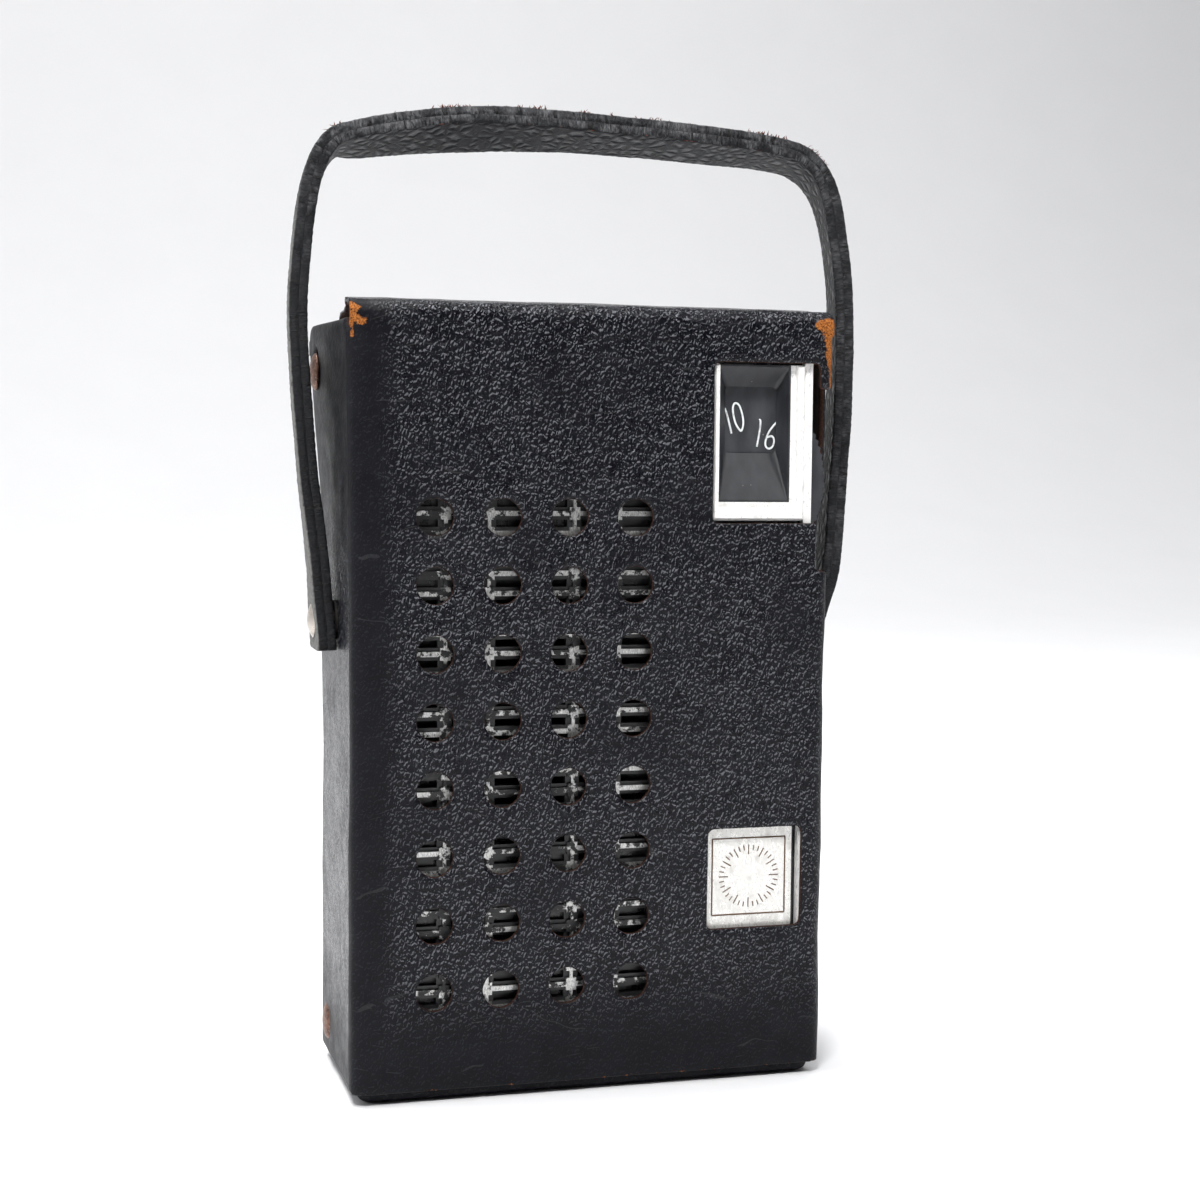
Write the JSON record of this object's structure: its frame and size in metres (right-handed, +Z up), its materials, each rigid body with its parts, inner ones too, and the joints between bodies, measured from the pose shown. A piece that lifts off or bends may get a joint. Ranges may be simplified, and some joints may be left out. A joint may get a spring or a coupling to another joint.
{
  "type": "portable transistor radio in a leather case",
  "caption": "Pocket transistor radio held in a riveted black leather case with a swinging carrying handle, a hinged lid, a thumb-wheel tuning dial and a perforated front.",
  "frame": {"origin": "middle of the flat bottom that the case stands on", "axes": "+Z up, front towards -Y, +X to the right as seen from the front"},
  "size_m": [0.0894, 0.0339, 0.1514],
  "materials": {
    "leather": "embossed pebble grain, glossy black, worn edges",
    "rivet_metal": "aged, rusty brown brass",
    "snap_metal": "aged brass",
    "chrome": "bright plated plastic, lightly worn",
    "cabinet_plastic": "black moulded polystyrene",
    "grille_silver": "worn silver facing on black ribs",
    "mask_black": "matt black",
    "dial_plastic": "dark grey with white numerals",
    "badge_metal": "satin anodised with engraved lines",
    "wheel_plastic": "black",
    "steel": "plain",
    "control_body": "milky control body",
    "board": "brown phenolic board",
    "can_metal": "drawn cans",
    "transformer": "stacked laminations and paper",
    "component_black": "black epoxy",
    "component_blue": "sleeved can",
    "component_tan": "coated body",
    "ferrite": "sintered ferrite",
    "coil_wire": "silk covered wire",
    "speaker_steel": "passivated pressed steel",
    "speaker_paper": "pressed paper cone",
    "battery_can": "plain printed can",
    "foam": "soft pad",
    "lead_plastic": "flexible insulation"
  },
  "bodies": {
    "case": {"case_front": "leather", "case_tray": "leather", "case_rivets": "rivet_metal", "snap_stud": "snap_metal", "handle_washers": "snap_metal", "handle_pins": "rivet_metal", "cabinet_front": "cabinet_plastic", "cabinet_back": "cabinet_plastic", "chrome_trim": "chrome", "grille_plate": "cabinet_plastic", "grille_ribs": "grille_silver", "badge_plate": "badge_metal", "dial_bezel": "chrome", "dial_mask": "mask_black", "tuning_capacitor": "control_body", "volume_control": "component_black", "circuit_board": "board", "board_screws": "steel", "coil_cans": "can_metal", "audio_transformers": "transformer", "transistors": "component_black", "electrolytic_capacitors": "component_blue", "resistors": "component_tan", "ferrite_rod": "ferrite", "antenna_coil": "coil_wire", "rod_holders": "wheel_plastic", "speaker_basket": "speaker_steel", "speaker_cone": "speaker_paper", "speaker_magnet": "speaker_steel", "battery": "battery_can", "battery_connector": "component_black", "battery_pad": "foam", "battery_leads": "lead_plastic", "speaker_leads": "lead_plastic"},
    "handle": {"handle_outer_ply": "leather", "handle_inner_ply": "leather"},
    "lid": {"top_lid": "leather", "snap_cap": "snap_metal"},
    "tuning": {"tuning_dial": "dial_plastic", "tuning_shaft": "steel", "tuning_screw": "steel"},
    "volume": {"volume_wheel": "wheel_plastic", "volume_shaft": "steel", "volume_screw": "steel"}
  },
  "joints": [
    {"name": "handle_swing", "type": "hinge", "parent": "case", "child": "handle", "pos_m": [0, 0, 0.0718], "axis": [1, 0, 0], "range_deg": [-135, 135]},
    {"name": "lid_open", "type": "hinge", "parent": "case", "child": "lid", "pos_m": [0, -0.0155, 0.11555], "axis": [1, 0, 0], "range_deg": [0, 40]},
    {"name": "tuning_turn", "type": "hinge", "parent": "case", "child": "tuning", "pos_m": [0.0218, -0.0095, 0.0936], "axis": [0, -1, 0], "range_deg": [-40, 140]},
    {"name": "volume_turn", "type": "hinge", "parent": "case", "child": "volume", "pos_m": [0.0265, -0.0075, 0.048], "axis": [0, -1, 0], "range_deg": [-280, 0]}
  ]
}
